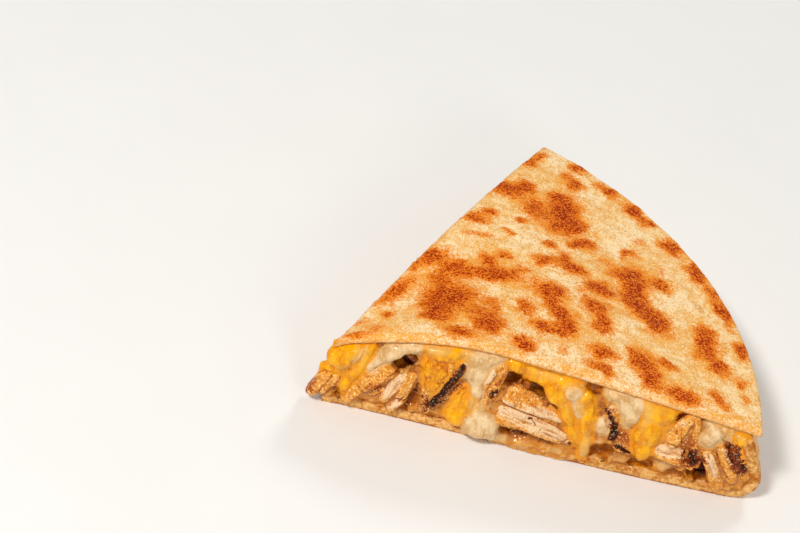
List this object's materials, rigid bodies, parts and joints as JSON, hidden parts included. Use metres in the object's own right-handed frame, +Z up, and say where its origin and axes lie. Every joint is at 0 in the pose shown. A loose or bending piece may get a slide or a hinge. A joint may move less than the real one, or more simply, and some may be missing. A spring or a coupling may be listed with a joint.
{
  "type": "quesadilla wedge",
  "caption": "Wedge of chicken quesadilla: two toasted tortillas with shredded chicken and melted cheeses between, open at both straight cuts and closed round the arc by a curled rim.",
  "frame": {"origin": "on the surface it rests on, under the middle of its bounding box", "axes": "+Z up from the bottom tortilla to the top one; +X along the front cut, from the wedge's tip to its rim; the front cut faces -Y"},
  "size_m": [0.1351, 0.124, 0.0351],
  "materials": {
    "tortilla": "matt toasted flour tortilla, cream with browned spots",
    "filling": "moist spiced sauce and shredded filling",
    "chicken": "moist seasoned chicken, fibrous, charred in places",
    "cheddar": "glossy melted orange cheese",
    "white_cheese": "glossy melted pale cheese"
  },
  "bodies": {
    "root": {"back_cheddar_1": "cheddar", "back_cheddar_2": "cheddar", "back_cheddar_3": "cheddar", "back_chicken_1": "chicken", "back_chicken_10": "chicken", "back_chicken_11": "chicken", "back_chicken_2": "chicken", "back_chicken_3": "chicken", "back_chicken_4": "chicken", "back_chicken_5": "chicken", "back_chicken_6": "chicken", "back_chicken_7": "chicken", "back_chicken_8": "chicken", "back_chicken_9": "chicken", "back_white_cheese_1": "white_cheese", "back_white_cheese_2": "white_cheese", "cheddar_drip_1": "cheddar", "cheddar_drip_2": "cheddar", "cheddar_drip_3": "cheddar", "cheddar_fold_1": "cheddar", "cheddar_fold_2": "cheddar", "cheddar_fold_3": "cheddar", "cheddar_rim": "cheddar", "cheddar_tip": "cheddar", "cheddar_tip_strand": "cheddar", "chicken_chunk_1": "chicken", "chicken_chunk_2": "chicken", "chicken_chunk_3": "chicken", "chicken_chunk_4": "chicken", "chicken_chunk_5": "chicken", "chicken_strip_1": "chicken", "chicken_strip_2": "chicken", "chicken_strip_3": "chicken", "chicken_strip_4": "chicken", "chicken_strip_5": "chicken", "chicken_strip_6": "chicken", "chicken_strip_7": "chicken", "chicken_strip_8": "chicken", "chicken_strip_9": "chicken", "chicken_tip_strip": "chicken", "filling": "filling", "tortilla_bottom": "tortilla", "tortilla_top": "tortilla", "white_cheese_bead": "white_cheese", "white_cheese_blob": "white_cheese", "white_cheese_drip": "white_cheese", "white_cheese_pull": "white_cheese", "white_cheese_sheet": "white_cheese", "white_cheese_strand": "white_cheese", "white_cheese_strip": "white_cheese"}
  },
  "joints": []
}
